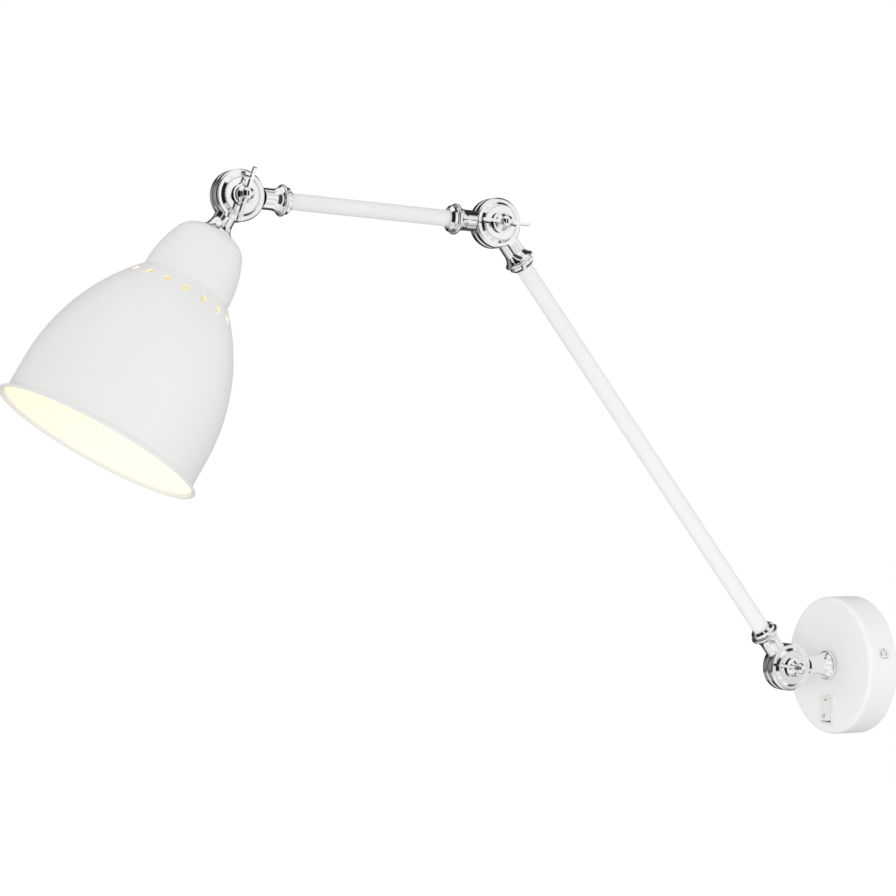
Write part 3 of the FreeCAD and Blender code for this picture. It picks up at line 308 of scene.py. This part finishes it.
finishes = {"enamel": whiteEnamel(), "shade": shadeEnamel(), "chrome": chrome(),
            **{kind: plainMetal(look) for kind, look in metalLooks.items()},
            **{kind: moulded(look) for kind, look in mouldedLooks.items()},
            "glass": litGlass()}
nodeFinishes = {
    "enamel": ["wall_cup", "lower_arm_tube", "upper_arm_tube"],
    "shade": ["shade"],
    "chrome": ["cup_side_screws", "boss_knuckle", "lower_arm_knuckle", "lower_elbow_knuckle",
               "upper_elbow_knuckle", "upper_head_knuckle", "shade_knuckle", "shoulder_pivot_bolt",
               "elbow_pivot_bolt", "head_pivot_bolt", "shoulder_wing_nut", "elbow_wing_nut",
               "head_wing_nut"],
    "zinc": ["wall_bracket", "terminal_screws", "swivel_stop_pin", "swivel_nipple",
             "swivel_spring_washer", "swivel_nut", "shoulder_spring_washer", "elbow_spring_washer",
             "head_spring_washer", "shade_nipple", "shade_nut"],
    "brass": ["switch_blades", "lampholder_sleeve", "lampholder_contact"],
    "thread": ["bulb_cap"],
    "switch": ["switch_housing", "switch_rocker", "terminal_block"],
    "holder": ["lampholder_cap", "lampholder_body"],
    "fibre": ["swivel_slide_washer", "shoulder_friction_washer", "elbow_friction_washer",
              "head_friction_washer"],
    "sheath": ["lower_arm_lead", "upper_arm_lead"],
    "glass": ["bulb_glass"],
}
for finishName, members in nodeFinishes.items():
    for member in members:
        for materialSlot in nodes[member].material_slots:
            materialSlot.material = finishes[finishName]
unfinished = sorted(set(nodes) - {member for members in nodeFinishes.values() for member in members})
print("finishes made for", len(nodes) - len(unfinished), "nodes, without one:", unfinished)


def gridObject(name, points, material, wrapped):
    # points is a rows x columns x 3 array; a quad joins each point to the next row and column,
    # and the last column joins the first where the grid is wrapped
    rows, columns = points.shape[:2]
    index = np.arange(rows * columns).reshape(rows, columns)
    here = index if wrapped else index[:, :-1]
    beside = np.roll(index, -1, axis=1) if wrapped else index[:, 1:]
    quads = np.stack([here[:-1], beside[:-1], beside[1:], here[1:]], axis=-1).reshape(-1, 4)
    mesh = bpy.data.meshes.new(name)
    mesh.from_pydata(points.reshape(-1, 3).tolist(), [], quads.tolist())
    mesh.materials.append(material)
    piece = bpy.data.objects.new(name, mesh)
    bpy.context.scene.collection.objects.link(piece)
    return piece


def closedPiece(name, points, finish="chrome", gap=1e-6):
    # wrapped grid whose first and last rows are poles or meet each other: the points that lie
    # within gap are merged, which closes it, and the faces are turned outwards
    piece = gridObject(name, points, finishes[finish], True)
    mesh = piece.data
    mesh.polygons.foreach_set("use_smooth", np.ones(len(mesh.polygons), bool))
    work = bmesh.new()
    work.from_mesh(mesh)
    bmesh.ops.remove_doubles(work, verts=work.verts, dist=gap)
    bmesh.ops.recalc_face_normals(work, faces=work.faces)
    work.to_mesh(mesh)
    work.free()
    mesh.update()
    return piece


rockerMarks = {  # lengths from the rocker's hinge, heights along its face
    "hinge": pivots["switch_rocks"], "tilt": -8.0, "valley": 0.0036, "edge": 0.0052,
    "halfLength": 0.0083, "barPlace": 0.0070, "barWidth": 0.0037, "barHeight": 0.0008,
    "barPower": 0.35, "barGrid": (17, 48), "ringPlace": -0.0048, "ringRadius": 0.00125,
    "ringGrid": (21, 64), "lineWidth": 0.00055, "proud": 0.00006,
}


def onRocker(across, up, out):
    # across, up and out along the rocker's face, a shallow V that is deepest at its middle; the
    # points are then tilted about the hinge, as the rocker is at rest
    size = rockerMarks
    rise = (size["edge"] - size["valley"]) / size["halfLength"]
    length = math.hypot(1.0, rise)
    y = -size["valley"] - np.abs(up) * rise / length - out / length
    z = up / length - np.sign(up) * out * rise / length
    c, s = math.cos(math.radians(size["tilt"])), math.sin(math.radians(size["tilt"]))
    turn = np.array([[1, 0, 0], [0, c, -s], [0, s, c]])
    return np.stack([across, y, z], axis=-1) @ turn.T + np.array(size["hinge"])


def markBar():  # a flat lozenge with round corners: an ellipsoid whose sines and cosines are bent
    size = rockerMarks
    rows, columns = size["barGrid"]
    u = np.linspace(0, 2 * np.pi, columns, endpoint=False)[None, :]
    v = np.linspace(-np.pi / 2, np.pi / 2, rows)[:, None]

    def bent(value):  # value to a power below one, with its sign kept
        return np.sign(value) * np.abs(value) ** size["barPower"]

    across = size["barWidth"] / 2 * bent(np.cos(v)) * bent(np.cos(u))
    up = size["barPlace"] + size["barHeight"] / 2 * bent(np.cos(v)) * bent(np.sin(u))
    out = size["proud"] * bent(np.sin(v)) + 0 * u
    return closedPiece("switchMarkBar", onRocker(across, up, out), finish="mark")


def markRing():  # a flat oval line carried round a circle of ringRadius
    size = rockerMarks
    rows, columns = size["ringGrid"]
    u = np.linspace(0, 2 * np.pi, columns, endpoint=False)[None, :]
    v = np.linspace(0, 2 * np.pi, rows)[:, None]
    reach = size["ringRadius"] + size["lineWidth"] / 2 * np.cos(v)
    up = size["ringPlace"] + reach * np.sin(u)
    out = size["proud"] * np.sin(v) + 0 * u
    return closedPiece("switchMarkRing", onRocker(reach * np.cos(u), up, out), finish="mark")


for mark in (markBar(), markRing()):
    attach(mark, "rocker")

sideScrews = {  # seat is the cup's radius, depth the distance from the wall
    "seat": 0.05005, "angle": 13.4, "depth": 0.011, "headRadius": 0.0036, "headHeight": 0.0020,
    "dome": 0.00055, "edge": 0.0010, "shankRadius": 0.00195, "length": 0.0078,
    "tipRadius": 0.0006, "tipLength": 0.001, "topRows": 46, "edgeRows": 9, "columns": 160,
    "crossReach": 0.0021, "crossHalf": 0.00042, "crossSoft": 0.00012, "crossFlare": 0.6,
    "crossFade": 9, "crossDepth": 0.0013, "crossEndShare": 0.45, "turn": 22.0,
}


def screwPoints(side):
    # turned profile: radius and height along the screw for each row; on top, the height drops by
    # crossDepth where the point lies within crossHalf of one of the two lines of the cross
    size = sideScrews
    top = np.linspace(0, size["headRadius"] - size["edge"], size["topRows"])
    bend = np.linspace(0, np.pi / 2, size["edgeRows"])[1:]
    radius = np.concatenate([top, size["headRadius"] - size["edge"] * (1 - np.sin(bend)),
                             [size["headRadius"], size["shankRadius"], size["shankRadius"],
                              size["tipRadius"], 0.0]])
    share = top / size["headRadius"]
    rim = size["headHeight"] - size["dome"] * share[-1] ** 2
    height = np.concatenate([size["headHeight"] - size["dome"] * share ** 2,
                             rim - size["edge"] * (1 - np.cos(bend)),
                             [0.0, 0.0, size["tipLength"] - size["length"], -size["length"],
                              -size["length"]]])
    turn = np.linspace(0, 2 * np.pi, size["columns"], endpoint=False)[None, :]
    x = radius[:, None] * np.cos(turn)
    y = radius[:, None] * np.sin(turn)
    spin = math.radians(size["turn"] * side)
    a = x * math.cos(spin) + y * math.sin(spin)
    b = -x * math.sin(spin) + y * math.cos(spin)
    near, far = np.minimum(abs(a), abs(b)), np.maximum(abs(a), abs(b))
    taper = np.clip(1 - far / size["crossReach"], 0, 1)
    halfWidth = size["crossHalf"] * (1 + size["crossFlare"] * taper)
    groove = np.clip((halfWidth - near) / size["crossSoft"] + 0.5, 0, 1) \
        * np.clip(taper * size["crossFade"], 0, 1) * size["crossDepth"] \
        * (size["crossEndShare"] + (1 - size["crossEndShare"]) * taper)
    onTop = (np.arange(len(radius)) < len(top))[:, None]
    z = height[:, None] - groove * onTop
    c, s = math.cos(math.radians(size["angle"])), math.sin(math.radians(size["angle"]))
    out, up = np.array([c * side, 0.0, s]), np.array([-s * side, 0.0, c])
    ahead = np.array([0.0, -1.0, 0.0])
    base = out * size["seat"] + ahead * size["depth"]
    return base + z[..., None] * out + x[..., None] * up + y[..., None] * ahead


rightScrew = closedPiece("sideScrewRight", screwPoints(1))
leftScrew = closedPiece("sideScrewLeft", screwPoints(-1))
for screw in (rightScrew, leftScrew):
    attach(screw, "wall")
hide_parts("cup_side_screws")
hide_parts("cup_side_screws")
print("switch marks and side screws made")

stepCollars = {  # round the raised step of each knuckle half; radii from the pivot's axis
    "outer": 0.01395, "inner": 0.0123, "height": 0.00221, "reach": 0.0114, "edge": 0.00012,
    "bow": 0.03, "face": 0.00635, "sink": 0.0004, "coveRows": 9, "columns": 180,
    # joint whose pivot it sits on, body that it rides, and its side of the joint
    "halves": {"shoulderFront": ("lower_arm_tilts", "lower_arm", 1),
               "shoulderRear": ("lower_arm_tilts", "swivel", -1),
               "elbowFront": ("upper_arm_tilts", "lower_arm", 1),
               "elbowRear": ("upper_arm_tilts", "upper_arm", -1),
               "headFront": ("shade_tilts", "head", 1),
               "headRear": ("shade_tilts", "upper_arm", -1)},
}


def collarPoints(pivot, side):
    # closed ring: the profile's radius and height for each row, carried round the pivot's axis X
    size = stepCollars
    cove = np.linspace(0, 1, size["coveRows"])
    radius = np.concatenate([size["outer"] + (size["inner"] - size["outer"]) * cove,
                             [size["inner"] - size["edge"], size["reach"], size["reach"],
                              size["outer"], size["outer"]]])
    height = np.concatenate([(size["height"] - size["edge"]) * (cove - size["bow"] * np.sin(np.pi * cove)),
                             [size["height"], size["height"], -size["sink"], -size["sink"], 0.0]])
    turn = np.linspace(0, 2 * np.pi, size["columns"], endpoint=False)[None, :]
    return np.stack([pivot[0] + side * (size["face"] + height[:, None]) + 0 * turn,
                     pivot[1] + radius[:, None] * np.cos(turn),
                     pivot[2] + radius[:, None] * np.sin(turn)], -1)


for collarName, (joint, body, side) in stepCollars["halves"].items():
    collar = closedPiece("stepCollar_" + collarName, collarPoints(pivots[joint], side))
    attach(collar, body)
print("step collars made")

capThread = {  # places along the shade's axis from the head's pivot, and radii; a screw-in lamp cap
    "pitch": 0.00363, "depth": 0.00042, "fade": 0.0015, "rowStep": 0.00030, "columns": 120,
    "start": 0.0541, "tipRadius": 0.0048, "tipShare": 0.92, "tipEnd": 0.0553, "coneEnd": 0.0591,
    "coneStep": 0.0006, "radius": 0.01275, "threadStart": 0.0601, "runIn": 0.0008,
    "threadEnd": 0.0745, "end": 0.0761, "endGap": 0.0004, "wall": 0.0005, "bottomWall": 0.0004,
}


def aroundAxis(radius, along, turn):
    # radius and place along the shade's leaning axis, carried round it: the first side direction is X
    sideways = radius * np.sin(turn)
    return np.stack([headAxis["pivot"][0] + radius * np.cos(turn),
                     headAxis["pivot"][1] - along * leanSin - sideways * leanCos,
                     headAxis["pivot"][2] - along * leanCos + sideways * leanSin], -1)


def threadedCap():
    # turned profile with a rolled thread: the radius swings by depth with the place along the axis
    # over the pitch less the turn round it, faded in and out at the thread's ends; the last five
    # rows come back inside and close the wall
    size = capThread
    rows = np.arange(size["threadStart"] - size["runIn"], size["end"] - size["endGap"], size["rowStep"])
    innerTip = size["tipEnd"] + size["bottomWall"]
    along = np.concatenate([[size["start"], size["start"], size["tipEnd"], size["coneEnd"]], rows,
                            [size["end"], size["end"], size["coneEnd"] + size["bottomWall"],
                             innerTip, innerTip]])
    inner = size["radius"] - size["wall"] - size["depth"]
    radius = np.concatenate([[0.0, size["tipRadius"] * size["tipShare"], size["tipRadius"],
                              size["radius"] - size["coneStep"]],
                             np.full(len(rows), size["radius"]),
                             [size["radius"], inner, inner, size["tipRadius"] - size["coneStep"], 0.0]])
    turn = np.linspace(0, 2 * np.pi, size["columns"], endpoint=False)[None, :]
    fade = np.clip((along - size["threadStart"]) / size["fade"], 0, 1) \
        * np.clip((size["threadEnd"] - along) / size["fade"], 0, 1)
    fade[-5:] = 0
    phase = 2 * np.pi * along[:, None] / size["pitch"] - turn
    swing = size["depth"] * fade[:, None] * np.sin(phase)
    return aroundAxis(radius[:, None] + swing, along[:, None] + 0 * turn, turn + 0 * along[:, None])


lampCap = closedPiece("lampCapThread", threadedCap(), finish="thread")
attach(lampCap, "head")
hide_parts("bulb_cap")
print("lamp cap's thread made")

studio = {  # lengths in metres, power in watts, spread in degrees
    "ambient": 1.02, "skyDim": 0.74, "skyReach": (0.05, 0.9),
    "floorHeight": -1.75, "floorHalf": 9.0, "floorColour": (0.93, 0.93, 0.93), "floorLift": 0.30,
    "frontPower": 2.9, "frontPlace": (2.0, -1.5, 0.40), "frontSize": 1.8,
    "wallPower": 0.24, "wallPlace": (0.8, -0.9, 0.0), "wallSize": 0.5, "wallSpread": 52,
}


def rayMask(sheet):  # 1 for rays that should see the white surroundings
    path = sheet.add("ShaderNodeLightPath").socket.node
    camera, glossy, through = [Wire(sheet, path.outputs[name])
                               for name in ("Is Camera Ray", "Is Glossy Ray", "Is Transmission Ray")]
    return camera.most(glossy).most(through)


world = bpy.data.worlds.new("paleStudio")
bpy.context.scene.world = world
world.use_nodes = True
sky = NodeSheet(world.node_tree)
direction = Wire(sky, world.node_tree.nodes.new("ShaderNodeTexCoord").outputs["Generated"])
skyHeight = sky.parts(direction)[2]  # light from above is a little weaker than light from the sides
skyLevel = skyHeight.ramp(*studio["skyReach"], 1.0, studio["skyDim"]) * studio["ambient"]
soft = sky.add("ShaderNodeBackground", None, {"Color": white, "Strength": skyLevel})
seen = sky.add("ShaderNodeBackground", None, {"Color": white, "Strength": 1.0})
both = sky.add("ShaderNodeMixShader", None, {0: rayMask(sky), 1: soft, 2: seen})
skyOutput = world.node_tree.nodes.new("ShaderNodeOutputWorld")
world.node_tree.links.new(both.socket, skyOutput.inputs["Surface"])


def floorMaterial():  # pale, keeps the soft shadow, lifted to white for the camera and reflections
    finish = Finish("paleFloor", {"Roughness": 0.9, "Specular IOR Level": 0.1,
                                  "Emission Strength": studio["floorLift"]})
    grain = finish.noise(finish.place, 0.02, 2.0)
    colour = finish.mix(grain, rgba(studio["floorColour"], 0.995), rgba(studio["floorColour"]))
    return finish.feed(baseColor=colour, emission=finish.mix(rayMask(finish), black, white))


reach = np.linspace(-studio["floorHalf"], studio["floorHalf"], 3)
floorX, floorY = np.meshgrid(reach, reach, indexing="ij")
floorPoints = np.stack([floorX, floorY, np.full_like(floorX, studio["floorHeight"])], -1)
floor = gridObject("floor", floorPoints, floorMaterial(), False)

mirrorStudio = {  # what polished metal sees: a white tent with dark openings, on a dome round the object
    "radius": 1.30, "middle": (0.0, -0.32, 0.15), "cloudSize": 0.55, "cloudDepth": 0.24,
    "cloudReach": (0.35, 0.65), "coolTint": 1.02, "columns": 73, "rows": 37,
    # azimuth from and to, elevation from and to, width of the soft edge in degrees, and tone
    "openings": [(-118, 36, -30, 50, 8, 0.012), (-116, -38, -56, -28, 14, 0.30),
                 (47, 78, -34, 50, 6, 0.05), (132, 250, 38, 70, 10, 0.03),
                 (214, 266, 2, 46, 10, 0.07), (188, 250, -16, 10, 8, 0.12),
                 (172, 266, -62, -12, 12, 0.07), (-66, -30, -26, 46, 16, 0.30),
                 (126, 178, -58, -15, 16, 0.38)],
}


def mirrorMaterial():
    size = mirrorStudio
    finish = Finish("whiteTent", {"Base Color": black, "Roughness": 1.0, "Specular IOR Level": 0.0,
                                  "Emission Strength": 1.0})
    x, y, z = finish.parts(finish.place)
    elevation = (z / size["radius"]).maths("ARCSINE", z / size["radius"]) * (180 / math.pi)
    cloud = finish.noise(finish.place, size["cloudSize"], 1.0).ramp(*size["cloudReach"])
    colour = finish.mix(cloud, rgba(white[:3], 1.0 - size["cloudDepth"]), white)
    for azimuthFrom, azimuthTo, lowest, highest, soft, tone in size["openings"]:
        middle = math.radians((azimuthFrom + azimuthTo) / 2)
        ahead = x * math.sin(middle) - y * math.cos(middle)
        across = x * math.cos(middle) + y * math.sin(middle)
        away = abs(across.maths("ARCTAN2", across, ahead)) * (180 / math.pi)
        above = abs(elevation - (lowest + highest) / 2)
        half, halfHeight = (azimuthTo - azimuthFrom) / 2, (highest - lowest) / 2
        inside = away.ramp(half + soft / 2, half - soft / 2) \
            * above.ramp(halfHeight + soft / 2, halfHeight - soft / 2)
        colour = finish.mix(inside, colour, (tone, tone, tone * size["coolTint"], 1.0))
    return finish.feed(emission=colour)


# the dome: azimuth along one side of the grid, elevation along the other
azimuthGrid, elevationGrid = np.meshgrid(np.radians(np.linspace(0, 360, mirrorStudio["columns"])),
                                         np.radians(np.linspace(-90, 90, mirrorStudio["rows"])),
                                         indexing="ij")
domePoints = mirrorStudio["radius"] * np.stack([np.sin(azimuthGrid) * np.cos(elevationGrid),
                                                -np.cos(azimuthGrid) * np.cos(elevationGrid),
                                                np.sin(elevationGrid)], -1)
dome = gridObject("mirrorDome", domePoints, mirrorMaterial(), False)
dome.location = mirrorStudio["middle"]
for rays in ("camera", "diffuse", "shadow", "transmission", "volume_scatter"):
    setattr(dome, "visible_" + rays, False)
floor.visible_glossy = False


def softLight(name, place, aim, size, power, spread=180):
    lamp = bpy.data.lights.new(name, "AREA")
    lamp.spread = math.radians(spread)
    lamp.shape = "DISK"
    lamp.size = size
    lamp.energy = power
    holder = bpy.data.objects.new(name, lamp)
    holder.location = place
    holder.rotation_mode = "QUATERNION"
    holder.rotation_quaternion = (Vector(aim) - Vector(place)).to_track_quat("-Z", "Y")
    holder.visible_glossy = False  # polished metal sees the dome in its place
    bpy.context.scene.collection.objects.link(holder)


softLight("frontLight", studio["frontPlace"], mirrorStudio["middle"], studio["frontSize"],
          studio["frontPower"])
softLight("wallLight", studio["wallPlace"], (0.0, 0.0, 0.0), studio["wallSize"], studio["wallPower"],
          studio["wallSpread"])
print("stage and lights set")

cameraView = {  # fitted to the photograph: degrees, metres, focal length in picture widths
    "azimuth": 62.077, "elevation": -0.074, "roll": 0.728, "focal": 2539.27 / 896,
    "distance": 1.70791, "target": (0.0, -0.34074, 0.15498), "sensor": 36.0, "clip": (0.05, 60.0),
}
azimuth, elevation, roll = [math.radians(cameraView[key]) for key in ("azimuth", "elevation", "roll")]
back = Vector((math.sin(azimuth) * math.cos(elevation), -math.cos(azimuth) * math.cos(elevation),
               math.sin(elevation)))
level = (-back).cross(Vector((0, 0, 1))).normalized()
upright = level.cross(-back)
right = level * math.cos(roll) + upright * math.sin(roll)
upward = -level * math.sin(roll) + upright * math.cos(roll)
lens = bpy.data.cameras.new("photoCamera")
lens.sensor_width = cameraView["sensor"]
lens.lens = cameraView["sensor"] * cameraView["focal"]
lens.clip_start, lens.clip_end = cameraView["clip"]
camera = bpy.data.objects.new("photoCamera", lens)
place = Vector(cameraView["target"]) + back * cameraView["distance"]
camera.matrix_world = Matrix.Translation(place) @ Matrix((right, upward, back)).transposed().to_4x4()
bpy.context.scene.collection.objects.link(camera)
bpy.context.scene.camera = camera
bpy.context.scene.view_settings.view_transform = "Standard"
print("camera set")
